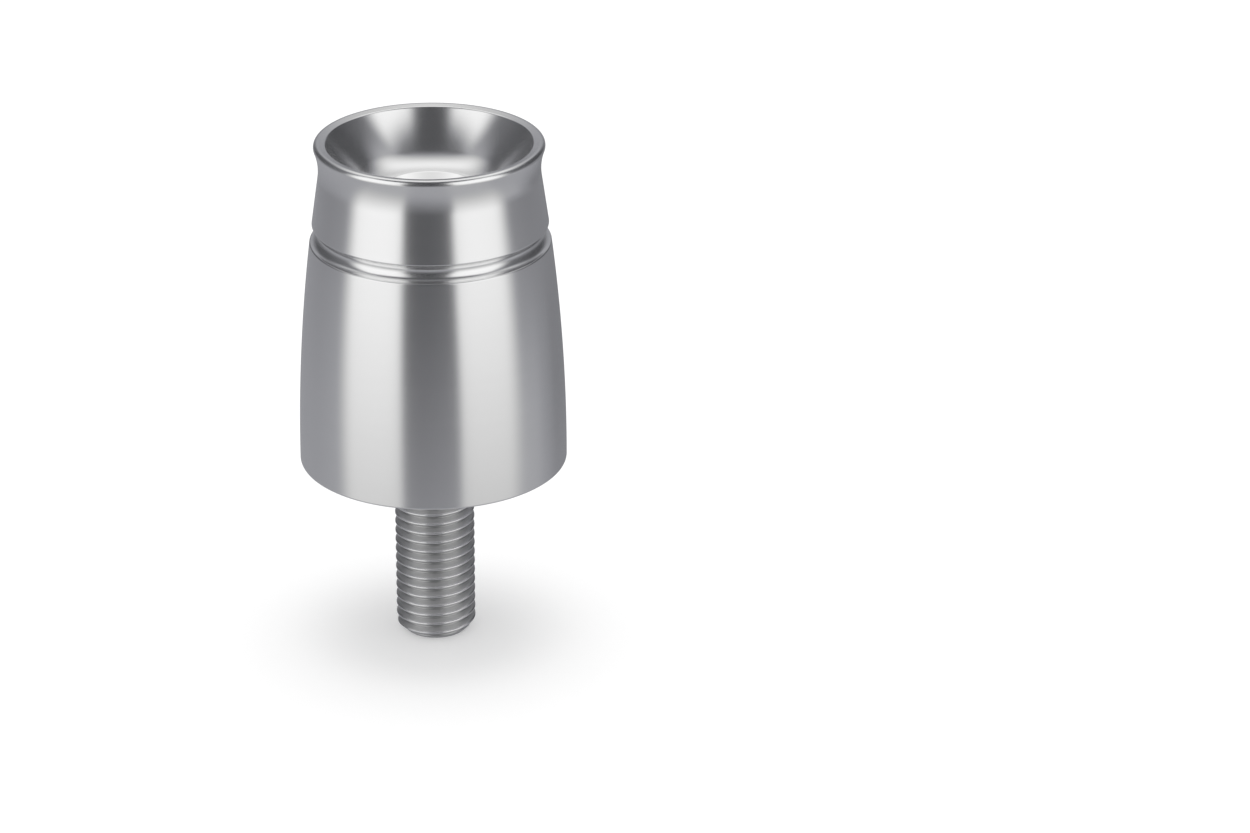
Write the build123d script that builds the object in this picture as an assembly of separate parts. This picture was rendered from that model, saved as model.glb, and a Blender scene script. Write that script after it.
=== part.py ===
from build123d import *
import os
from math import cos, radians, sin, tan

# Bar end weight, turned from one bar, in millimetres and degrees. The seat that meets the handlebar's
# end lies in the XY plane with its centre at the origin, the head is at +Z and the stud at -Z.

# Barrel: swells from the groove down to the seat and reaches it square to its face
SEAT_DIAMETER = 33.0
SEAT_EDGE_RADIUS = 0.25
BARREL_LENGTH = 28.7
BARREL_TOP_DIAMETER = 29.4

# Round-bottomed groove between barrel and head
GROOVE_WIDTH = 2.15
GROOVE_DEPTH = 1.0
GROOVE_EDGE_RADIUS = 0.18

# Head: tapers to a waist and flares out to the lip
BODY_LENGTH = 41.35
HEAD_FOOT_DIAMETER = 28.8
HEAD_TAPER = 8.2
FLARE_ANGLE = 20.0
FLARE_RADIUS = 7.8

# Lip: rounded outside, and sloping gently into the dish
LIP_DIAMETER = 27.95
LIP_EDGE_RADIUS = 0.57
LIP_SLOPE = 13.0
LIP_WIDTH = 1.43
LIP_INNER_RADIUS = 0.3

# Dish: a straight wall, run out into a hollow floor that ends at the countersink
DISH_WALL_ANGLE = 50.0
DISH_FLOOR_ANGLE = 11.6
DISH_FLOOR_RADIUS = 5.75

# Countersink, hexagon key socket and the drilled hole that the hexagon was broached into
COUNTERSINK_DIAMETER = 11.8
COUNTERSINK_ANGLE = 120.0
KEY_ACROSS_FLATS = 8.1
KEY_DEPTH = 8.0
DRILL_DIAMETER = 7.7
DRILL_DEPTH = 10.0
DRILL_POINT_ANGLE = 118.0

# Threaded stud, drawn at the outside diameter of its thread
STUD_DIAMETER = 9.9
STUD_LENGTH = 23.6
STUD_END_CHAMFER = 1.1

# Heights that follow from the sizes
HEAD_FOOT = BARREL_LENGTH + GROOVE_WIDTH


def lip_edge_point(angle):
    """Point of the lip's rounded outer edge, its angle counted from the widest place upwards."""
    centre_r = LIP_DIAMETER / 2 - LIP_EDGE_RADIUS
    centre_z = BODY_LENGTH - LIP_EDGE_RADIUS
    turn = radians(angle)
    return (centre_r + LIP_EDGE_RADIUS * cos(turn), centre_z + LIP_EDGE_RADIUS * sin(turn))


def waist_corner(head_foot, flare_top):
    """Where the head's taper and the flare would meet if the waist weren't rounded."""
    taper = tan(radians(HEAD_TAPER))
    flare = tan(radians(FLARE_ANGLE))
    foot_r, foot_z = head_foot
    top_r, top_z = flare_top
    z = (foot_r - top_r + taper * foot_z + flare * top_z) / (taper + flare)
    return (foot_r - taper * (z - foot_z), z)


def waist_rounding(head_foot, waist, flare_top):
    """The waist's rounding, or as much of it as the taper and the flare have room for."""
    runs = (Vector(*waist) - Vector(*head_foot)).length, (Vector(*flare_top) - Vector(*waist)).length
    return min(FLARE_RADIUS, 0.98 * min(runs) / tan(radians((HEAD_TAPER + FLARE_ANGLE) / 2)))


def bowl_point(floor_centre, angle):
    """Point of the dish's hollow floor where it slopes at the angle."""
    centre_r, centre_z = floor_centre
    turn = radians(angle)
    return (centre_r + DISH_FLOOR_RADIUS * sin(turn), centre_z - DISH_FLOOR_RADIUS * cos(turn))


def dish_floor_centre(lip_inside):
    """Centre of the floor's hollow, so that the wall runs up from it to the inside of the lip."""
    inside_r, inside_z = lip_inside
    centre_r = COUNTERSINK_DIAMETER / 2 - DISH_FLOOR_RADIUS * sin(radians(DISH_FLOOR_ANGLE))
    wall_foot_r = centre_r + DISH_FLOOR_RADIUS * sin(radians(DISH_WALL_ANGLE))
    wall_foot_z = inside_z - (inside_r - wall_foot_r) * tan(radians(DISH_WALL_ANGLE))
    return (centre_r, wall_foot_z + DISH_FLOOR_RADIUS * cos(radians(DISH_WALL_ANGLE)))


def round_corner(section, corner, radius):
    """Round the section's corner that lies at the given distance from the axis and height."""
    vertex = section.vertices().sort_by_distance(Vector(*corner))[0]
    return fillet(vertex, radius)


def turned_section():
    """Half section of the turned bar, with the rim of its countersink returned beside it."""
    seat_r = SEAT_DIAMETER / 2
    barrel_top_r = BARREL_TOP_DIAMETER / 2
    head_foot_r = HEAD_FOOT_DIAMETER / 2
    stud_r = STUD_DIAMETER / 2
    seat_edge = (seat_r, 0)
    barrel_top = (barrel_top_r, BARREL_LENGTH)
    head_foot = (head_foot_r, HEAD_FOOT)
    groove_floor = ((barrel_top_r + head_foot_r) / 2 - GROOVE_DEPTH, BARREL_LENGTH + GROOVE_WIDTH / 2)
    flare_top = lip_edge_point(-FLARE_ANGLE)
    waist = waist_corner(head_foot, flare_top)
    waist_radius = waist_rounding(head_foot, waist, flare_top)
    lip_top = lip_edge_point(90 + LIP_SLOPE)
    inside_r = LIP_DIAMETER / 2 - LIP_WIDTH
    lip_inside = (inside_r, lip_top[1] - (lip_top[0] - inside_r) * tan(radians(LIP_SLOPE)))
    floor_centre = dish_floor_centre(lip_inside)
    wall_foot = bowl_point(floor_centre, DISH_WALL_ANGLE)
    floor_middle = bowl_point(floor_centre, (DISH_WALL_ANGLE + DISH_FLOOR_ANGLE) / 2)
    countersink_rim = bowl_point(floor_centre, DISH_FLOOR_ANGLE)
    countersink_tip = countersink_rim[1] - countersink_rim[0] / tan(radians(COUNTERSINK_ANGLE / 2))

    with BuildSketch(Plane.XZ) as section:
        with BuildLine():
            Polyline(
                (0, -STUD_LENGTH),
                (stud_r - STUD_END_CHAMFER, -STUD_LENGTH),
                (stud_r, STUD_END_CHAMFER - STUD_LENGTH),
                (stud_r, 0),
                seat_edge,
            )
            TangentArc(seat_edge, barrel_top, tangent=(0, 1))
            ThreePointArc(barrel_top, groove_floor, head_foot)
            Polyline(head_foot, waist, flare_top)
            ThreePointArc(flare_top, lip_edge_point(45), lip_top)
            Polyline(lip_top, lip_inside, wall_foot)
            ThreePointArc(wall_foot, floor_middle, countersink_rim)
            Polyline(countersink_rim, (0, countersink_tip), (0, -STUD_LENGTH))
        make_face()
        round_corner(section, seat_edge, SEAT_EDGE_RADIUS)
        round_corner(section, barrel_top, GROOVE_EDGE_RADIUS)
        round_corner(section, head_foot, GROOVE_EDGE_RADIUS)
        round_corner(section, waist, waist_radius)
        round_corner(section, lip_inside, LIP_INNER_RADIUS)
    return section.sketch, countersink_rim[1]


def key_socket(mouth):
    """Hexagon socket with corners along X, and the drilled hole under it, measured from the mouth."""
    hexagon = RegularPolygon(KEY_ACROSS_FLATS / 2, 6, major_radius=False)
    broached = extrude(Plane.XY.offset(mouth - KEY_DEPTH) * hexagon, KEY_DEPTH)
    drill_r = DRILL_DIAMETER / 2
    drill_end = mouth - DRILL_DEPTH
    point = drill_end - drill_r / tan(radians(DRILL_POINT_ANGLE / 2))
    with BuildSketch(Plane.XZ) as drilled:
        with BuildLine():
            Polyline((0, point), (drill_r, drill_end), (drill_r, mouth), (0, mouth), close=True)
        make_face()
    return broached + revolve(drilled.sketch, Axis.Z)


def bar_end_weight():
    """The whole weight: turned outside and dished, then drilled and broached for the key."""
    section, mouth = turned_section()
    return revolve(section, Axis.Z) - key_socket(mouth)


os.makedirs("parts", exist_ok=True)
export_step(bar_end_weight(), "parts/bar_end_weight.step")
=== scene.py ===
from collections import namedtuple
from math import acos, atan2, ceil, cos, hypot, pi, radians, sin, sqrt, tan

import bmesh
import bpy
from bpy.props import FloatProperty, FloatVectorProperty, IntProperty, PointerProperty
from bpy.types import Operator, Panel, PropertyGroup
from mathutils import Matrix, Vector


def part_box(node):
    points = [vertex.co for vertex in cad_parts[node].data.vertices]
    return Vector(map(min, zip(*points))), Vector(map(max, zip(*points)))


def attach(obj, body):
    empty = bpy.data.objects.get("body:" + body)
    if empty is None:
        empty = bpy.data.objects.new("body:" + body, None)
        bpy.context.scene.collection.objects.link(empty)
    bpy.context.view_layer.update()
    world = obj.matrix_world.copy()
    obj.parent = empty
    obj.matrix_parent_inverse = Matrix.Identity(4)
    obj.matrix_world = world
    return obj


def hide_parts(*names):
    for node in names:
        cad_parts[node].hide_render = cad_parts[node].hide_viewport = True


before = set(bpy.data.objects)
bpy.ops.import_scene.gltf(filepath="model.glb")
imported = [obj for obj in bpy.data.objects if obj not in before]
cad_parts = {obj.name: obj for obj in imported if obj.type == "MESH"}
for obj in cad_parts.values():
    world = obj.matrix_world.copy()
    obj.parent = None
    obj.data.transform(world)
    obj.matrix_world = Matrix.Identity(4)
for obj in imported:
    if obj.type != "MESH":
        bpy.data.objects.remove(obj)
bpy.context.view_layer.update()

bl_info = {
    "name": "Bar End Weight",
    "version": (1, 0, 0),
    "blender": (4, 5, 0),
    "location": "3D View > Sidebar > Bar End",
    "description": "Makes a turned bar end weight with dish, key socket and threaded stud, and its studio",
    "category": "Object",
}

NODE = "bar_end_weight"
BODY = "root"
MM = 0.001
MM_PER_METRE = 1000.0
SHARP_CORNER = radians(34)


# Properties


def length(name, description, millimetres):
    """A size in millimetres, kept in metres."""
    return FloatProperty(name=name, description=description, default=millimetres * MM, min=0.0,
                         unit="LENGTH", subtype="DISTANCE", precision=5)


def angle(name, description, degrees):
    """An angle in degrees, kept in radians."""
    return FloatProperty(name=name, description=description, default=radians(degrees), subtype="ANGLE")


def share(name, description, value, most=1.0):
    """A plain number from 0 up."""
    return FloatProperty(name=name, description=description, default=value, min=0.0, max=most)


def colour(name, description, value):
    """A linear colour."""
    return FloatVectorProperty(name=name, description=description, default=value, min=0.0, max=1.0,
                               size=3, subtype="COLOR")


class TurnedSizes(PropertyGroup):
    """Sizes of the turned body, from its seat to the countersink in its dish."""

    seat_diameter: length("Seat diameter", "Outside of the flat seat", 33.0)
    seat_edge_radius: length("Seat edge", "Rounding of the seat's edge", 0.25)
    barrel_length: length("Barrel length", "From the seat to the groove", 28.7)
    barrel_top_diameter: length("Barrel top", "Diameter where the barrel meets the groove", 29.4)
    groove_width: length("Groove width", "Width of the round-bottomed groove", 2.15)
    groove_depth: length("Groove depth", "Depth of the groove at its middle", 1.0)
    groove_edge_radius: length("Groove edges", "Rounding of the groove's two edges", 0.18)
    body_length: length("Body length", "From the seat to the top of the lip", 41.35)
    head_foot_diameter: length("Head foot", "Diameter where the head leaves the groove", 28.8)
    head_taper: angle("Head taper", "Lean of the head below its waist", 8.2)
    flare_angle: angle("Flare", "Lean of the head above its waist", 20.0)
    flare_radius: length("Waist rounding", "Rounding between taper and flare", 7.8)
    lip_diameter: length("Lip diameter", "Widest place of the lip", 27.95)
    lip_edge_radius: length("Lip edge", "Rounding outside of the lip", 0.57)
    lip_slope: angle("Lip slope", "Fall of the lip towards the dish", 13.0)
    lip_width: length("Lip width", "From the widest place to the dish", 1.43)
    lip_inner_radius: length("Lip inside", "Rounding between lip and dish", 0.3)
    dish_depth: length("Dish depth", "From the lip's inner edge down to the countersink", 5.985)
    dish_top_angle: angle("Dish wall", "Slope of the dish's hollow wall under the lip", 58.0)
    dish_foot_angle: angle("Wall's foot", "Slope where the wall runs out into the floor", 46.0)
    dish_floor_angle: angle("Dish floor", "Slope of the floor at the countersink", 8.0)
    countersink_diameter: length("Countersink", "Outside of the countersink", 11.8)
    countersink_angle: angle("Countersink angle", "Whole angle of its cone", 120.0)


class SocketSizes(PropertyGroup):
    """Sizes of the broached hexagon and the hole drilled for it."""

    across_flats: length("Across flats", "Width of the hexagon", 8.1)
    depth: length("Socket depth", "From the countersink's edge to the hexagon's foot", 8.0)
    drill_diameter: length("Drill diameter", "Hole that the hexagon was broached into", 7.7)
    drill_depth: length("Drill depth", "From the countersink's edge to the end of the hole's wall", 10.0)
    drill_point: angle("Drill point", "Whole angle of the hole's end", 118.0)


class StudSizes(PropertyGroup):
    """Sizes of the stud and its thread."""

    diameter: length("Stud diameter", "Outside of the thread", 9.9)
    stud_length: length("Stud length", "From the seat to the stud's end", 23.6)
    end_chamfer: length("End chamfer", "Chamfer at the stud's end", 1.1)
    pitch: length("Pitch", "From one turn of the thread to the next", 1.25)
    crest_edge: length("Crest edge", "Rounding of the thread's crest", 0.04)
    start: angle("Thread start", "Turn of the thread about its axis", 110.0)


class Finish(PropertyGroup):
    """Colours and roughness of the bare metal. Some colours are painted light: a painted highlight in the
    countersink, and painted shade in the socket and on the thread.
    """

    metal: colour("Metal", "Turned and polished aluminium", (0.89, 0.89, 0.89))
    # Painted highlight: the countersink's colour is brighter than the metal itself.
    bore_highlight: colour("Countersink", "Freshly cut metal of the countersink", (0.97, 0.97, 0.97))
    # Painted shade: the socket's colour is darkened for the shade inside the deep hexagon.
    hollow: colour("Socket", "Broached metal in the socket", (0.46, 0.45, 0.43))
    # Painted shade: the flanks' colour is darkened for the shade between the turns of the thread.
    thread: colour("Thread", "Flanks of the thread", (0.71, 0.71, 0.71))
    # Painted shade: the root's colour is darker still for the shade at the bottom of the thread, not dirt.
    root: colour("Thread root", "Bottom of the thread, with some dirt", (0.5, 0.5, 0.5))
    roughness: share("Roughness", "Roughness of the polished metal", 0.2)
    bore_roughness: share("Countersink roughness", "Roughness of the countersink", 0.1)
    socket_roughness: share("Socket roughness", "Roughness of the broached socket", 0.3)
    thread_roughness: share("Thread roughness", "Roughness of the thread's flanks", 0.41)
    unevenness: share("Unevenness", "How much the polished metal's brightness varies", 0.03)


class Studio(PropertyGroup):
    """Brightness of the studio around the object, and the camera."""

    white: share("Panels", "The two lit panels", 1.05, 2.0)
    stripe: share("Slit", "Dark slit between the panels, around the camera", 0.078)
    gap: share("Gaps", "Dark gaps behind the panels", 0.1)
    flank: share("Flanks", "Grey cloth below the gaps", 0.29)
    ground: share("Ground", "Grey that the metal sees below", 0.37)
    ambient: share("Ambient", "Plain light that falls on the floor", 0.875)
    paper: share("Floor", "Grey of the floor's paper", 0.8)
    floor_glow: share("Floor glow", "White added to the floor for the camera", 0.23)
    key_watts: share("Lamp", "Power of the soft lamp overhead", 0.66, 100.0)
    focal_length: FloatProperty(name="Focal length", description="Lens in millimetres on a 36 mm sensor",
                                default=123.84, min=10.0)
    camera_pitch: angle("Camera pitch", "How far the camera looks down", 23.954)
    camera_roll: angle("Camera roll", "Lean of the camera", 0.288)
    segments: IntProperty(name="Segments", description="Sides of the floor's circle", default=128, min=16)


# Profile of the turned body, as points at a distance from the axis and a height

# Straight runs that each part of the profile is drawn with
SEAT_EDGE_RUNS = 10
BARREL_RUNS = 72
GROOVE_EDGE_RUNS = 9
GROOVE_RUNS = 26
HEAD_RUNS = 16
WAIST_RUNS = 26
FLARE_RUNS = 4
LIP_EDGE_RUNS = 18
LIP_RUNS = 3
LIP_INSIDE_RUNS = 10
DISH_WALL_RUNS = 40
DISH_FLOOR_RUNS = 34

# Share of the shorter run beside the waist that its rounding may use up
WAIST_ROOM = 0.98

# A run that is this many times as long as the one beside it gets a support
SUDDEN_CHANGE = 3
SUPPORT_DISTANCE = 0.03 * MM
LEAST_DISTANCE = 0.0005 * MM


def arc(centre, radius, start, end, steps):
    """Points on a circle from one angle to another, both included."""
    turns = [start + (end - start) * i / steps for i in range(steps + 1)]
    return [(centre[0] + radius * cos(t), centre[1] + radius * sin(t)) for t in turns]


def circle_through(a, b, c):
    """Centre and radius of the circle through three points."""
    (ax, ay), (bx, by), (cx, cy) = a, b, c
    d = 2 * (ax * (by - cy) + bx * (cy - ay) + cx * (ay - by))
    sa, sb, sc = ax * ax + ay * ay, bx * bx + by * by, cx * cx + cy * cy
    centre = ((sa * (by - cy) + sb * (cy - ay) + sc * (ay - by)) / d,
              (sa * (cx - bx) + sb * (ax - cx) + sc * (bx - ax)) / d)
    return centre, hypot(ax - centre[0], ay - centre[1])


def short_arc(centre, start, end, steps):
    """Points on the shorter way round a centre from one point to another."""
    first = atan2(start[1] - centre[1], start[0] - centre[0])
    last = atan2(end[1] - centre[1], end[0] - centre[0])
    turn = (last - first + pi) % (2 * pi) - pi
    return arc(centre, hypot(start[0] - centre[0], start[1] - centre[1]), first, first + turn, steps)


def rounded(before, corner, after, radius, steps):
    """Points of the rounding of a corner between two straight runs."""
    ins = Vector(before) - Vector(corner)
    out = Vector(after) - Vector(corner)
    ins.normalize()
    out.normalize()
    half = acos(ins.dot(out)) / 2
    middle = (ins + out).normalized()
    centre = Vector(corner) + middle * radius / sin(half)
    start = Vector(corner) + ins * radius / tan(half)
    end = Vector(corner) + out * radius / tan(half)
    return short_arc(tuple(centre), tuple(start), tuple(end), steps)


def groove_edge(corner, along, centre, groove_radius, radius, steps):
    """Rounding from a wall that runs along a direction from the corner to the round groove."""
    inward = Vector((-abs(along[1]), along[0] * (1 if along[1] > 0 else -1)))
    along = Vector(along)
    offset = Vector(corner) + inward * radius - Vector(centre)
    b = offset.dot(along)
    t = -b + sqrt(b * b - offset.length_squared + (groove_radius + radius) ** 2)
    middle = Vector(corner) + inward * radius + along * t
    on_wall = Vector(corner) + along * t
    on_groove = Vector(centre) + (middle - Vector(centre)) * groove_radius / (groove_radius + radius)
    return short_arc(tuple(middle), tuple(on_wall), tuple(on_groove), steps)


def spaced(start, end, steps):
    """Points on a straight run, both ends included."""
    return [(start[0] + (end[0] - start[0]) * i / steps, start[1] + (end[1] - start[1]) * i / steps)
            for i in range(steps + 1)]


def supported(points):
    """The same points with one more close to each sudden change of run, which keeps the shading even."""
    runs = [hypot(b[0] - a[0], b[1] - a[1]) for a, b in zip(points, points[1:])]
    kept = [points[0]]
    for i, run in enumerate(runs):
        a, b = points[i], points[i + 1]
        before = runs[i - 1] if i else run
        after = runs[i + 1] if i + 1 < len(runs) else run
        near = SUPPORT_DISTANCE
        if run > SUDDEN_CHANGE * max(before, near):
            kept.append((a[0] + (b[0] - a[0]) * near / run, a[1] + (b[1] - a[1]) * near / run))
        if run > SUDDEN_CHANGE * max(after, near):
            kept.append((b[0] + (a[0] - b[0]) * near / run, b[1] + (a[1] - b[1]) * near / run))
        kept.append(b)
    return kept


def distinct(points):
    """The points without any that repeats the one before it."""
    kept = [points[0]]
    for point in points[1:]:
        if hypot(point[0] - kept[-1][0], point[1] - kept[-1][1]) > LEAST_DISTANCE:
            kept.append(point)
    return kept


def barrel_and_groove(s):
    """Points from the seat's edge over the barrel and through the groove, and the foot of the head."""
    seat_r = s.seat_diameter / 2
    top_r = s.barrel_top_diameter / 2
    foot = (s.head_foot_diameter / 2, s.barrel_length + s.groove_width)
    swell = (s.barrel_length ** 2 + (seat_r - top_r) ** 2) / (2 * (seat_r - top_r))
    lean = atan2(s.barrel_length, swell - (seat_r - top_r))
    barrel = arc((seat_r - swell, 0.0), swell, 0.0, lean, BARREL_RUNS)
    bottom = ((top_r + foot[0]) / 2 - s.groove_depth, s.barrel_length + s.groove_width / 2)
    centre, radius = circle_through(barrel[-1], bottom, foot)
    lower = groove_edge(barrel[-1], (sin(lean), -cos(lean)), centre, radius,
                        s.groove_edge_radius, GROOVE_EDGE_RUNS)
    upper = groove_edge(foot, (-sin(s.head_taper), cos(s.head_taper)), centre, radius,
                        s.groove_edge_radius, GROOVE_EDGE_RUNS)[::-1]
    edge = rounded((0.0, 0.0), (seat_r, 0.0), (seat_r, seat_r), s.seat_edge_radius, SEAT_EDGE_RUNS)
    wall = [p for p in barrel if edge[-1][1] < p[1] < lower[0][1]]
    return edge + wall + lower + short_arc(centre, lower[-1], upper[0], GROOVE_RUNS) + upper, foot


def head_and_lip(s, foot):
    """Points from the head's foot over the waist and the flare to the top of the lip."""
    centre = (s.lip_diameter / 2 - s.lip_edge_radius, s.body_length - s.lip_edge_radius)
    lip = arc(centre, s.lip_edge_radius, -s.flare_angle, pi / 2 + s.lip_slope, LIP_EDGE_RUNS)
    taper, flare = tan(s.head_taper), tan(s.flare_angle)
    waist_z = (foot[0] - lip[0][0] + taper * foot[1] + flare * lip[0][1]) / (taper + flare)
    waist = (foot[0] - taper * (waist_z - foot[1]), waist_z)
    run = min(hypot(end[0] - waist[0], end[1] - waist[1]) for end in (foot, lip[0]))
    room = WAIST_ROOM * run / tan((s.head_taper + s.flare_angle) / 2)
    rounding = rounded(foot, waist, lip[0], min(s.flare_radius, room), WAIST_RUNS)
    below = spaced(foot, rounding[0], HEAD_RUNS)
    above = spaced(rounding[-1], lip[0], FLARE_RUNS)
    return below[1:] + rounding[1:] + above[1:] + lip[1:]


def sloping_arc(start, radius, first, last, runs):
    """Points on a hollow arc towards the axis, from where it slopes at one angle to where at another."""
    centre = (start[0] - radius * sin(first), start[1] + radius * cos(first))
    return arc(centre, radius, first - pi / 2, last - pi / 2, runs)


def dish(s, lip_top):
    """Points from the lip's top down the dish's hollow wall and over its floor to the countersink."""
    corner_r = s.lip_diameter / 2 - s.lip_width
    corner = (corner_r, lip_top[1] - (lip_top[0] - corner_r) * tan(s.lip_slope))
    top, foot, end = s.dish_top_angle, s.dish_foot_angle, s.dish_floor_angle
    width, depth = corner_r - s.countersink_diameter / 2, s.dish_depth
    (wall_x, wall_y), (floor_x, floor_y) = (
        (sin(first) - sin(last), cos(last) - cos(first)) for first, last in ((top, foot), (foot, end)))
    both = wall_x * floor_y - floor_x * wall_y
    wall_radius = (width * floor_y - depth * floor_x) / both
    floor_radius = (depth * wall_x - width * wall_y) / both
    wall = sloping_arc(corner, wall_radius, top, foot, DISH_WALL_RUNS)
    floor = sloping_arc(wall[-1], floor_radius, foot, end, DISH_FLOOR_RUNS)
    ahead = (corner[0] - cos(top), corner[1] - sin(top))
    turned = rounded(lip_top, corner, ahead, s.lip_inner_radius, LIP_INSIDE_RUNS)
    wall = [p for p in wall if p[1] < turned[-1][1]]
    return spaced(lip_top, turned[0], LIP_RUNS)[1:] + turned[1:] + wall + floor[1:]


def turned_profile(s):
    """The whole turned outline from the seat's edge to the countersink's rim."""
    lower, foot = barrel_and_groove(s)
    head = head_and_lip(s, foot)
    upper_edge = lower[-1]
    head = [p for p in head if p[1] > upper_edge[1] or p[0] < upper_edge[0]]
    return supported(distinct(lower + head + dish(s, head[-1])))


# Meshes

SIDES = 192
THREAD_SIDES = 120

# Shares of the way from the countersink's rim to the hexagon at which its cone has a loop
CONE_LOOPS = (0.04, 0.35, 0.7, 1.0)

# The thread is drawn longer than the stud by these turns and is then cut off
SPARE_TURNS = 3
CUT_TOLERANCE = 1e-7
NEAR_CUT = 0.05 * MM


def ring(mesh, radius, height):
    """A loop of corners whose distance from the axis and height may change with the angle."""
    loop = []
    for i in range(SIDES):
        turn = 2 * pi * i / SIDES
        r = radius(turn) if callable(radius) else radius
        z = height(turn) if callable(height) else height
        loop.append(mesh.verts.new((r * cos(turn), r * sin(turn), z)))
    return loop


def wall(mesh, lower, upper):
    """Faces between two loops."""
    for i in range(SIDES):
        j = (i + 1) % SIDES
        mesh.faces.new((lower[i], lower[j], upper[j], upper[i]))


def loop_edges(mesh, loop):
    """Edges of a loop that has faces on one side already."""
    return [mesh.edges.get((loop[i], loop[(i + 1) % len(loop)])) for i in range(len(loop))]


def key_socket(mesh, rim, s, k):
    """Countersink, hexagon with its corners along X, and the drilled hole under it."""
    rim_r = s.countersink_diameter / 2
    rim_z = rim[0].co.z
    fall = 1 / tan(s.countersink_angle / 2)

    def hexagon(turn):
        return k.across_flats / 2 / cos(turn % (pi / 3) - pi / 6)

    last = rim
    for part in CONE_LOOPS:
        def radius(turn, part=part):
            return rim_r + (hexagon(turn) - rim_r) * part

        def height(turn, radius=radius):
            return rim_z - (rim_r - radius(turn)) * fall

        row = ring(mesh, radius, height)
        wall(mesh, last, row)
        last = row
    foot_z = rim_z - k.depth
    hole_r = k.drill_diameter / 2
    hole_z = rim_z - k.drill_depth
    for radius, height in ((hexagon, foot_z), (hole_r, foot_z), (hole_r, hole_z)):
        row = ring(mesh, radius, height)
        wall(mesh, last, row)
        last = row
    tip = mesh.verts.new((0, 0, hole_z - hole_r / tan(k.drill_point / 2)))
    for i in range(SIDES):
        mesh.faces.new((last[i], last[(i + 1) % SIDES], tip))


def thread_form(s):
    """One turn of the thread, in the proportions of the ISO thread, except for its rounded crest.

    Each point is a distance along the axis from a crest, and a depth."""
    p = s.pitch
    root_radius = p * sqrt(3) / 12
    depth = 17 / 24 * p * sqrt(3) / 2
    edge = s.crest_edge
    back = edge * tan(pi / 6)
    corner = p / 16
    half = [(0.0, 0.0)]
    half += [(corner - back + edge * sin(t), edge - edge * cos(t)) for t in (0.0, pi / 6, pi / 3)]
    arc_centre = depth - root_radius
    root = [(p / 2 - root_radius * sin(t), arc_centre + root_radius * cos(t))
            for t in (pi / 3, radians(40), radians(20), 0.0)]
    half += [((half[-1][0] + root[0][0]) / 2, (half[-1][1] + root[0][1]) / 2)] + root
    return half + [(p - along, deep) for along, deep in half[-2:0:-1]]


def threaded_stud(mesh, s):
    """The stud with its right-hand thread, cut off square at the seat and at its end."""
    form = thread_form(s)
    rows = len(form)
    turns = ceil(s.stud_length / s.pitch) + SPARE_TURNS
    stud_r = s.diameter / 2
    chamfer_top = s.end_chamfer - s.stud_length
    first_crest = -s.stud_length - SPARE_TURNS / 2 * s.pitch
    columns = []
    for j in range(THREAD_SIDES):
        turn = 2 * pi * j / THREAD_SIDES
        column = []
        for k in range(rows * turns + 1):
            along, deep = form[k % rows]
            z = first_crest + (k // rows + j / THREAD_SIDES) * s.pitch + along
            r = min(stud_r - deep, stud_r - max(0.0, chamfer_top - z))
            column.append(mesh.verts.new((r * cos(turn + s.start), r * sin(turn + s.start), z)))
        columns.append(column)
    for j in range(THREAD_SIDES):
        right = columns[j + 1] if j + 1 < THREAD_SIDES else columns[0][rows:]
        left = columns[j]
        for k in range(min(len(left), len(right)) - 1):
            mesh.faces.new((left[k], right[k], right[k + 1], left[k + 1]))
    for height, drop in ((0.0, "clear_outer"), (-s.stud_length, "clear_inner")):
        parts = mesh.verts[:] + mesh.edges[:] + mesh.faces[:]
        bmesh.ops.bisect_plane(mesh, geom=parts, dist=CUT_TOLERANCE, plane_co=(0, 0, height),
                               plane_no=(0, 0, 1), **{drop: True})
    loose = [v for v in mesh.verts if not v.link_faces]
    bmesh.ops.delete(mesh, geom=loose, context="VERTS")
    rim = [e for e in mesh.edges if e.is_boundary]
    top = [e for e in rim if all(abs(v.co.z) < NEAR_CUT for v in e.verts)]
    end = [e for e in rim if all(abs(v.co.z + s.stud_length) < NEAR_CUT for v in e.verts)]
    return top, end


def mesh_data(mesh, name):
    """The finished mesh as the data of an object."""
    data = bpy.data.meshes.new(name)
    mesh.to_mesh(data)
    mesh.free()
    return data


def weight_mesh(sizes, socket, stud):
    """The whole weight as one closed mesh."""
    mesh = bmesh.new()
    top, end = threaded_stud(mesh, stud)
    profile = turned_profile(sizes)
    rows = [ring(mesh, r, z) for r, z in profile]
    for lower, upper in zip(rows, rows[1:]):
        wall(mesh, lower, upper)
    key_socket(mesh, rows[-1], sizes, socket)
    bmesh.ops.triangle_fill(mesh, use_beauty=True, use_dissolve=False, edges=end)
    bmesh.ops.triangle_fill(mesh, use_beauty=True, use_dissolve=False,
                            edges=top + loop_edges(mesh, rows[0]))
    bmesh.ops.recalc_face_normals(mesh, faces=mesh.faces[:])
    open_edges = sum(1 for e in mesh.edges if not e.is_manifold)
    if open_edges:
        raise RuntimeError(f"the weight's mesh isn't closed: {open_edges} open edges")
    data = mesh_data(mesh, "turned_weight")
    data.shade_smooth()
    data.set_sharp_from_angle(angle=SHARP_CORNER)
    return data


# Materials

WHITE = (1.0, 1.0, 1.0)

# Keeps a division by the distance from the axis within bounds
NEAR_AXIS = 0.001

# A direction: its three parts, and in degrees its turn from the camera and its height
Direction = namedtuple("Direction", "x y z aside level")

# Noise on a turned shape: how fast it changes in three ways, and the settings of its node
Grain = namedtuple("Grain", "outwards upwards around scale detail roughness")


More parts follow.
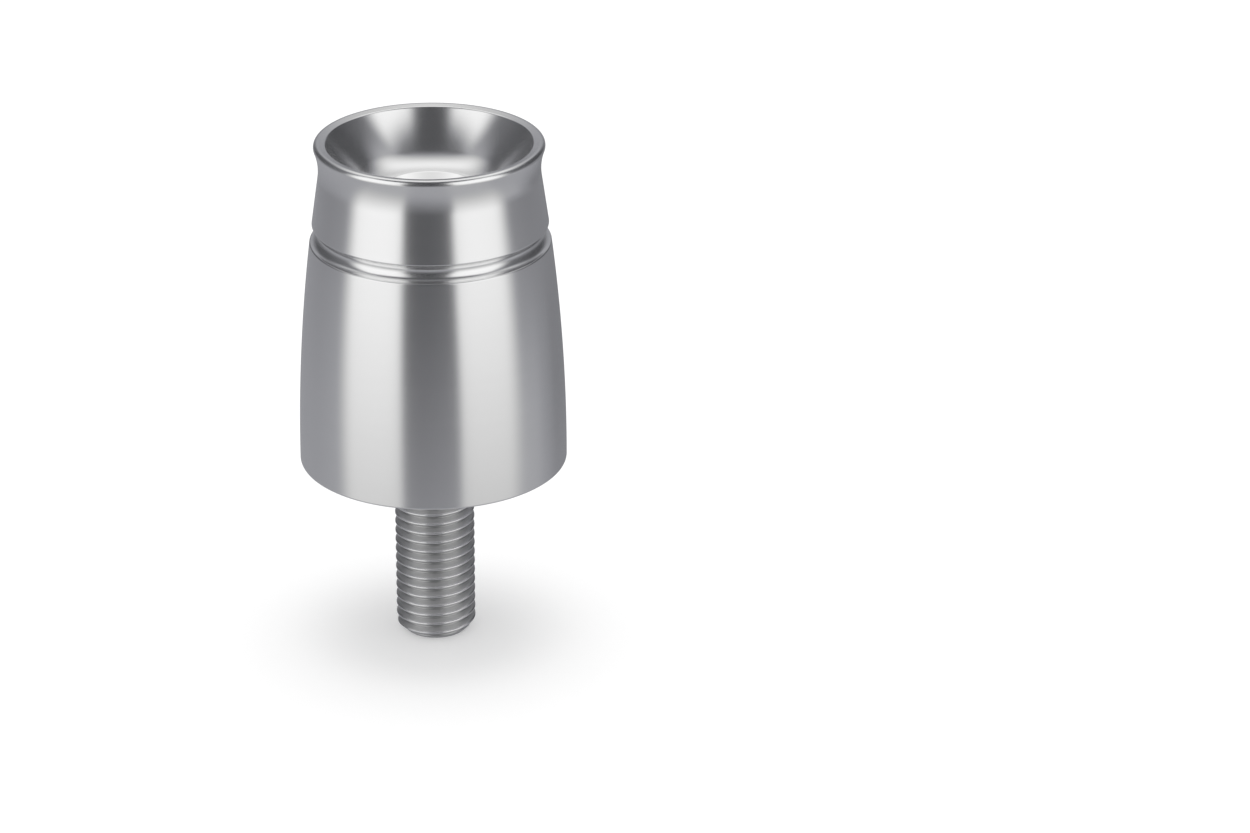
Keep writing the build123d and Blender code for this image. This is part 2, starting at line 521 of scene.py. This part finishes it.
class Reading:
    """A socket's value. Plain arithmetic with it adds Math nodes."""

    def __init__(self, tree, socket):
        self.tree = tree
        self.socket = socket

    def maths(self, operation, first, second=None):
        sockets = {0: first} if second is None else {0: first, 1: second}
        return self.tree.value("ShaderNodeMath", {"operation": operation}, sockets)

    def __add__(self, other):
        return self.maths("ADD", self, other)

    def __radd__(self, other):
        return self.maths("ADD", other, self)

    def __sub__(self, other):
        return self.maths("SUBTRACT", self, other)

    def __rsub__(self, other):
        return self.maths("SUBTRACT", other, self)

    def __mul__(self, other):
        return self.maths("MULTIPLY", self, other)

    def __rmul__(self, other):
        return self.maths("MULTIPLY", other, self)

    def __truediv__(self, other):
        return self.maths("DIVIDE", self, other)

    def __pow__(self, other):
        return self.maths("POWER", self, other)

    def __abs__(self):
        return self.maths("ABSOLUTE", self)

    def at_most(self, limit):
        return self.maths("MINIMUM", self, limit)

    def at_least(self, limit):
        return self.maths("MAXIMUM", self, limit)


class Shading:
    """Node tree of one material, or of the world."""

    def __init__(self, tree):
        self.tree = tree
        tree.nodes.clear()

    def node(self, kind, settings=None, sockets=None):
        """Any node: its settings first, then the values or links of its sockets."""
        made = self.tree.nodes.new(kind)
        for name, value in (settings or {}).items():
            setattr(made, name, value)
        for key, value in (sockets or {}).items():
            if isinstance(value, Reading):
                self.tree.links.new(value.socket, made.inputs[key])
            else:
                made.inputs[key].default_value = value
        return made

    def value(self, kind, settings=None, sockets=None, output=0):
        """The same, as a reading of one of its outputs."""
        return Reading(self, self.node(kind, settings, sockets).outputs[output])

    def ramp(self, reading, low, high, floor=0.0, ceiling=1.0):
        """A smooth step from floor to ceiling, as the reading goes from low to high."""
        return self.value("ShaderNodeMapRange", {"interpolation_type": "SMOOTHSTEP"},
                          {0: reading, 1: low, 2: high, 3: floor, 4: ceiling})

    def mixed(self, factor, first, second):
        """A colour between two."""
        return self.value("ShaderNodeMix", {"data_type": "RGBA"}, {0: factor, 6: first, 7: second}, 2)

    def blended(self, factor, first, second):
        """A number between two."""
        return self.value("ShaderNodeMix", {"data_type": "FLOAT"}, {0: factor, 2: first, 3: second})

    def place(self):
        """Distance from the axis and height in millimetres, and the two parts of the way outwards."""
        where = self.value("ShaderNodeTexCoord", output="Object")
        x, y, z = self.split(self.scaled(where, MM_PER_METRE))
        radius = (x * x + y * y) ** 0.5
        guarded = radius + NEAR_AXIS
        return radius, z, x / guarded, y / guarded

    def scaled(self, vector, factor):
        """A vector or a colour times a number."""
        return self.value("ShaderNodeVectorMath", {"operation": "SCALE"}, {0: vector, "Scale": factor})

    def split(self, vector):
        """The three parts of a vector."""
        parts = self.node("ShaderNodeSeparateXYZ", None, {0: vector})
        return [Reading(self, out) for out in parts.outputs]

    def noise(self, place, grain):
        """Noise around the axis. Its fourth dimension keeps it free of a seam."""
        radius, height, east, north = place
        vector = self.value("ShaderNodeCombineXYZ", None, {0: radius * grain.outwards,
                                                           1: height * grain.upwards,
                                                           2: east * grain.around})
        return self.value("ShaderNodeTexNoise", {"noise_dimensions": "4D"},
                          {"Vector": vector, "W": north * grain.around, "Scale": grain.scale,
                           "Detail": grain.detail, "Roughness": grain.roughness})


def opaque(values):
    """A colour with its alpha."""
    return (*values, 1.0)


def new_material(name):
    """A new material and its empty node tree."""
    material = bpy.data.materials.new(name)
    material.use_nodes = True
    return material, Shading(material.node_tree)


# Where the metal's finish and its painted highlight and shade change, as distances from the axis or
# heights in millimetres. Each pair is where a smooth step starts and ends.
BELOW_SEAT = (0.02, -0.02)
BESIDE_STUD = (5.3, 5.2)
BELOW_CREST = (4.86, 4.8)
ROOT_SHADE = (4.35, 4.2)
COUNTERSINK_EDGE = (5.95, 5.9)
COUNTERSINK_FOOT = (31.0, 31.1)
# Distances from the axis over which the painted shade at the thread's root sets in
SOCKET_EDGE = (4.9, 4.8)
SOCKET_FOOT = (20.0, 20.5)

# The socket also lies below the countersink's cone, which rises by this much for each millimetre
# outwards and has its tip a little above these heights
CONE_RISE = 0.577
CONE_TIP = (31.65, 31.6)

# Marks that the tools left
TURNED_RINGS = Grain(outwards=1.0, upwards=1.0, around=0.25, scale=9.0, detail=3.0, roughness=0.65)
TURNED_BANDS = Grain(outwards=1.0, upwards=1.0, around=0.6, scale=0.9, detail=2.0, roughness=0.5)
CLOUDS = Grain(outwards=0.14, upwards=0.14, around=1.6, scale=1.0, detail=3.0, roughness=0.5)
BROACH_MARKS = Grain(outwards=6.0, upwards=0.12, around=24.0, scale=1.0, detail=3.0, roughness=0.5)
MARK_STRENGTH = 0.06
MARK_DEPTH = 0.02 * MM

# Roughness that the clouds and the bands add, and how much is taken off first to keep the mean
ROUGHER_IN_CLOUDS = 0.03
ROUGHER_IN_BANDS = 0.02
SMOOTHER_FIRST = 0.02


def turned_metal(finish):
    """Bright turned aluminium, with a painted highlight in the countersink and painted shade in the socket
    and on the thread, which are also rougher.
    """
    material, s = new_material("turned_aluminium")
    place = s.place()
    radius, height = place[:2]

    in_thread = s.ramp(height, *BELOW_SEAT) * s.ramp(radius, *BESIDE_STUD)
    in_flank = in_thread * s.ramp(radius, *BELOW_CREST)
    in_root_shade = in_thread * s.ramp(radius, *ROOT_SHADE)
    in_countersink = s.ramp(radius, *COUNTERSINK_EDGE) * s.ramp(height, *COUNTERSINK_FOOT)
    below_cone = s.ramp(height - radius * CONE_RISE, *CONE_TIP)
    in_socket = below_cone * s.ramp(radius, *SOCKET_EDGE) * s.ramp(height, *SOCKET_FOOT)

    bands = s.noise(place, TURNED_BANDS)
    cloud = s.noise(place, CLOUDS)
    shade = 1.0 - finish.unevenness + (bands + cloud) * finish.unevenness
    # Painted shade at the thread's root, darker than on its flanks.
    cut = s.mixed(in_root_shade, opaque(finish.thread), opaque(finish.root))
    # Painted shade: the thread's flanks take a darker colour than the metal.
    base = s.mixed(in_flank, s.scaled(tuple(finish.metal), shade), cut)
    # Painted highlight: the countersink takes a brighter colour than the metal.
    base = s.mixed(in_countersink, base, opaque(finish.bore_highlight))
    # Painted shade: the socket takes a dark colour for the shade in the hexagon.
    base = s.mixed(in_socket, base, opaque(finish.hollow))
    rough = finish.roughness - SMOOTHER_FIRST + cloud * ROUGHER_IN_CLOUDS + bands * ROUGHER_IN_BANDS
    rough = s.blended(in_countersink, rough, finish.bore_roughness)
    rough = s.blended(in_socket, rough, finish.socket_roughness)
    rough = s.blended(in_flank, rough, finish.thread_roughness)
    relief = s.blended(in_socket, s.noise(place, TURNED_RINGS), s.noise(place, BROACH_MARKS))
    bump = s.value("ShaderNodeBump", None,
                   {"Strength": MARK_STRENGTH, "Distance": MARK_DEPTH, "Height": relief})
    shader = s.value("ShaderNodeBsdfPrincipled", None,
                     {"Base Color": base, "Metallic": 1.0, "Roughness": rough, "Normal": bump})
    s.node("ShaderNodeOutputMaterial", None, {"Surface": shader})
    return material


def seen_directly(s):
    """1 for rays that show the background itself: to the camera, in metal and through glass."""
    path = s.node("ShaderNodeLightPath")
    to_camera, glossy, transmitted = (Reading(s, path.outputs[name]) for name in (
        "Is Camera Ray", "Is Glossy Ray", "Is Transmission Ray"))
    return (to_camera + glossy + transmitted).at_most(1.0)


def directions(s):
    """The direction from the tent's middle: its three parts, and its two angles in degrees."""
    where = s.value("ShaderNodeTexCoord", output="Object")
    x, y, z = s.split(s.value("ShaderNodeVectorMath", {"operation": "NORMALIZE"}, {0: where}))
    to_degrees = 180 / pi
    azimuth = s.value("ShaderNodeMath", {"operation": "ARCTAN2"}, {0: x, 1: 0 - y}) * to_degrees
    level = s.value("ShaderNodeMath", {"operation": "ARCSINE"}, {0: z}) * to_degrees
    return Direction(x, y, z, abs(azimuth), level)


# The tent that the metal mirrors. Each pair is where a smooth step starts and ends. Its angles are in
# degrees: aside counts from the camera round to the back on either side, and level counts upwards.

# The right half, by the direction's part to the right
RIGHT_HALF = (-0.25, 0.25)

# Dark slit around the camera: half its width as a sine, and what widens and narrows it
SLIT_HALF_WIDTH = 0.405
SLIT_LOSS_UP = 0.143
SLIT_BELOW = (0.0, -20.0)
SLIT_GAIN_BELOW = 0.035
SLIT_ABOVE = (0.0, 20.0)
SLIT_LOSS_ABOVE = 0.012
SLIT_BLUR = 0.032
SLIT_BLUR_UP = 0.05

# Lit panel on each side of the slit, which fades upwards
PANEL_ASIDE = (88.0, 70.0)
PANEL_LEVEL = (78.0, 62.0)
PANEL_FADE = (42.0, 60.0)
PANEL_FADED = 0.13
PANEL_LIFT_RIGHT = 2.0

# Ceiling: by the direction's part to the back it brightens and then falls off. Behind the panels it
# comes down lower.
CEILING_RISE = (-0.36, 0.42)
CEILING_WHITE = 0.98
CEILING_FALL = (0.45, 0.78)
CEILING_LOSS = 0.3
CEILING_LEVEL = (31.0, 60.0)
CEILING_BEHIND = (130.0, 176.0)
CEILING_DROP = 9.0

# Dark gaps behind the panels, and the grey between them right at the back
GAP_ASIDE = (60.0, 84.0)
GAP_BY_PANEL = (130.0, 95.0)
GAP_GAIN = 0.05
GAP_LOSS_RIGHT = 0.02
BACK_ASIDE = (142.0, 166.0)
BACK_GREY = 0.26
BACK_LEVEL = (4.0, 20.0)
BACK_GAIN = 0.08

# Grey cloth below the gaps, with a fold on the right
FLANK_LEVEL = (8.0, -25.0)
FLANK_BY_PANEL = (118.0, 88.0)
FLANK_GAIN = 0.05
FLANK_LOSS_RIGHT = 0.045
FOLD_LEVEL = (-12.0, -22.0)
FOLD_LIGHT = (116.0, 102.0)
FOLD_GAIN = 0.17
FOLD_DARK = (114.0, 136.0)
FOLD_LOSS = 0.2

# Ground, and the cooler tint of what is dark
GROUND_LEVEL = (2.0, -48.0)
GROUND_LIFT_RIGHT = 3.0
GROUND_BY_PANEL = 0.06
UNTINTED = (0.3, 0.6)
DARK_TINT = (0.965, 0.975, 1.04)


def lit_panels(s, studio, view, right):
    """How much a direction lies on one of the two panels, and their brightness there."""
    up = view.z.at_least(0.0)
    down = view.z.at_most(0.0)
    sideways = abs(view.x) / (1.0 - down * down) ** 0.5
    wider = s.ramp(view.level, *SLIT_BELOW) * SLIT_GAIN_BELOW
    narrower = s.ramp(view.level, *SLIT_ABOVE) * SLIT_LOSS_ABOVE
    slit = SLIT_HALF_WIDTH - up * SLIT_LOSS_UP + right * (wider - narrower)
    beside = s.ramp((sideways - slit) / (up * SLIT_BLUR_UP + SLIT_BLUR), -1.0, 1.0)
    on_panel = beside * s.ramp(view.aside, *PANEL_ASIDE) * s.ramp(view.level, *PANEL_LEVEL)
    return on_panel, s.ramp(view.level - right * PANEL_LIFT_RIGHT, *PANEL_FADE, studio.white, PANEL_FADED)


def bright_ceiling(s, studio, view):
    """How much a direction lies on the ceiling, and its brightness there."""
    rise = s.ramp(view.y, *CEILING_RISE, studio.stripe, CEILING_WHITE)
    fall = s.ramp(view.y, *CEILING_FALL) * CEILING_LOSS
    drop = s.ramp(view.aside, *CEILING_BEHIND) * CEILING_DROP
    return s.ramp(view.level + drop, *CEILING_LEVEL), rise - fall


def dark_cloth(s, studio, view, right):
    """Brightness of the slit in front, of the gaps behind the panels and of the cloth below them."""
    gap = studio.gap - right * GAP_LOSS_RIGHT + s.ramp(view.aside, *GAP_BY_PANEL) * GAP_GAIN
    back = s.ramp(view.level, *BACK_LEVEL) * BACK_GAIN + BACK_GREY
    gap = s.blended(s.ramp(view.aside, *BACK_ASIDE), gap, back)
    flank = studio.flank - right * FLANK_LOSS_RIGHT + s.ramp(view.aside, *FLANK_BY_PANEL) * FLANK_GAIN
    fold = s.ramp(view.aside, *FOLD_LIGHT) * FOLD_GAIN - s.ramp(view.aside, *FOLD_DARK) * FOLD_LOSS
    flank = flank + right * s.ramp(view.level, *FOLD_LEVEL) * fold
    gap = s.blended(s.ramp(view.level, *FLANK_LEVEL), gap, flank)
    return s.blended(s.ramp(view.aside, *GAP_ASIDE), studio.stripe, gap)


def tent_material(studio):
    """Inside of the tent that the metal mirrors: a dark slit in front, a lit panel on each side of it,
    dark gaps behind the panels, and a ceiling that brightens to the back."""
    material, s = new_material("tent_cloth")
    view = directions(s)
    right = s.ramp(view.x, *RIGHT_HALF)
    on_panel, panel = lit_panels(s, studio, view, right)
    on_ceiling, ceiling = bright_ceiling(s, studio, view)
    on_ground = s.ramp(view.level - right * GROUND_LIFT_RIGHT, *GROUND_LEVEL)
    tone = s.blended(on_ceiling, dark_cloth(s, studio, view, right), ceiling)
    tone = s.blended(on_panel, tone, panel)
    tone = s.blended(on_ground, tone, studio.ground + on_panel * GROUND_BY_PANEL)
    hue = s.mixed(s.ramp(tone, *UNTINTED), opaque(DARK_TINT), opaque(WHITE))
    glow = s.value("ShaderNodeEmission", None, {"Color": s.scaled(hue, tone)})
    s.node("ShaderNodeOutputMaterial", None, {"Surface": glow})
    return material


def floor_material(studio):
    """Matt white floor. The camera sees it as white where no shadow falls."""
    material, s = new_material("floor_paper")
    paper = s.value("ShaderNodeBsdfDiffuse", None, {"Color": opaque((studio.paper,) * 3)})
    glow = s.value("ShaderNodeEmission", None, {"Color": opaque((studio.floor_glow,) * 3)})
    lit = s.value("ShaderNodeAddShader", None, {0: paper, 1: glow})
    both = s.value("ShaderNodeMixShader", None, {0: seen_directly(s), 1: paper, 2: lit})
    s.node("ShaderNodeOutputMaterial", None, {"Surface": both})
    return material


# Operators


def add_object(name, data):
    """A new object in the scene."""
    made = bpy.data.objects.new(name, data)
    bpy.context.scene.collection.objects.link(made)
    return made


class BAREND_OT_weight(Operator):
    """Make the turned weight with its dish, key socket and threaded stud"""

    bl_idname = "barend.weight"
    bl_label = "Turned weight"

    def execute(self, context):
        scene = context.scene
        data = weight_mesh(scene.barend_turned, scene.barend_socket, scene.barend_stud)
        data.materials.append(turned_metal(scene.barend_finish))
        piece = add_object("turned_weight", data)
        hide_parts(NODE)
        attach(piece, BODY)
        return {"FINISHED"}


# Places and sizes of the studio in metres
TENT_RADIUS = 0.9
TENT_HEIGHT = 0.02
TENT_SUBDIVISIONS = 5
FLOOR_RADIUS = 3.0
LAMP_HEIGHT = 0.5
LAMP_BACK = 0.05
LAMP_SIZE = 0.35


class BAREND_OT_stage(Operator):
    """Make the floor, the tent around the object, the lamp and the world"""

    bl_idname = "barend.stage"
    bl_label = "Stage"

    def execute(self, context):
        scene = context.scene
        studio = scene.barend_studio
        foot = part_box(NODE)[0].z
        self.floor(studio, foot)
        self.tent(studio)
        self.lamp(studio, foot)
        self.world(scene, studio)
        scene.view_settings.view_transform = "Standard"
        return {"FINISHED"}

    def floor(self, studio, foot):
        mesh = bmesh.new()
        bmesh.ops.create_circle(mesh, cap_ends=True, segments=studio.segments, radius=FLOOR_RADIUS)
        data = mesh_data(mesh, "floor")
        data.materials.append(floor_material(studio))
        floor = add_object("floor", data)
        floor.location = (0, 0, foot)
        floor.visible_glossy = False

    def tent(self, studio):
        mesh = bmesh.new()
        bmesh.ops.create_icosphere(mesh, subdivisions=TENT_SUBDIVISIONS, radius=TENT_RADIUS)
        data = mesh_data(mesh, "tent")
        material = tent_material(studio)
        material.cycles.emission_sampling = "NONE"
        data.materials.append(material)
        tent = add_object("tent", data)
        tent.location = (0, 0, TENT_HEIGHT)
        tent.visible_camera = False
        tent.visible_diffuse = False
        tent.visible_transmission = False
        tent.visible_shadow = False

    def lamp(self, studio, foot):
        light = bpy.data.lights.new("soft_lamp", "AREA")
        light.shape = "DISK"
        light.size = LAMP_SIZE
        light.energy = studio.key_watts
        lamp = add_object("soft_lamp", light)
        lamp.location = (0, LAMP_BACK, foot + LAMP_HEIGHT)
        lamp.visible_glossy = False
        lamp.visible_camera = False

    def world(self, scene, studio):
        world = bpy.data.worlds.new("studio_white")
        scene.world = world
        world.use_nodes = True
        s = Shading(world.node_tree)
        room, backdrop = (s.value("ShaderNodeBackground", None, {"Color": opaque((grey,) * 3)})
                          for grey in (studio.ambient, 1.0))
        light = s.value("ShaderNodeMixShader", None, {0: seen_directly(s), 1: room, 2: backdrop})
        s.node("ShaderNodeOutputWorld", None, {"Surface": light})


CAMERA_PLACE = (23.697 * MM, -485.793 * MM, 221.027 * MM)
SENSOR_WIDTH = 36.0


class BAREND_OT_camera(Operator):
    """Make the camera that looks down at the weight as it stands on its stud"""

    bl_idname = "barend.camera"
    bl_label = "Camera"

    def execute(self, context):
        scene = context.scene
        studio = scene.barend_studio
        data = bpy.data.cameras.new("camera")
        data.sensor_width = SENSOR_WIDTH
        data.lens = studio.focal_length
        camera = add_object("camera", data)
        camera.matrix_world = (Matrix.Translation(CAMERA_PLACE)
                               @ Matrix.Rotation(pi / 2 - studio.camera_pitch, 4, "X")
                               @ Matrix.Rotation(studio.camera_roll, 4, "Z"))
        scene.camera = camera
        return {"FINISHED"}


class BAREND_PT_sidebar(Panel):
    """Lists the pieces and their sizes"""

    bl_idname = "BAREND_PT_sidebar"
    bl_label = "Bar End Weight"
    bl_space_type = "VIEW_3D"
    bl_region_type = "UI"
    bl_category = "Bar End"

    def draw(self, context):
        for operator in (BAREND_OT_weight, BAREND_OT_stage, BAREND_OT_camera):
            self.layout.operator(operator.bl_idname)
        for name, group in GROUPS.items():
            box = self.layout.box()
            box.label(text=group.__doc__)
            for prop in group.__annotations__:
                box.prop(getattr(context.scene, name), prop)


GROUPS = {
    "barend_turned": TurnedSizes,
    "barend_socket": SocketSizes,
    "barend_stud": StudSizes,
    "barend_finish": Finish,
    "barend_studio": Studio,
}
CLASSES = (*GROUPS.values(), BAREND_OT_weight, BAREND_OT_stage, BAREND_OT_camera, BAREND_PT_sidebar)


def register():
    for cls in CLASSES:
        bpy.utils.register_class(cls)
    for name, group in GROUPS.items():
        setattr(bpy.types.Scene, name, PointerProperty(type=group))


def unregister():
    for name in GROUPS:
        delattr(bpy.types.Scene, name)
    for cls in reversed(CLASSES):
        bpy.utils.unregister_class(cls)


def main():
    register()
    bpy.ops.barend.camera()
    bpy.ops.barend.weight()
    bpy.ops.barend.stage()


if __name__ == "__main__":
    main()
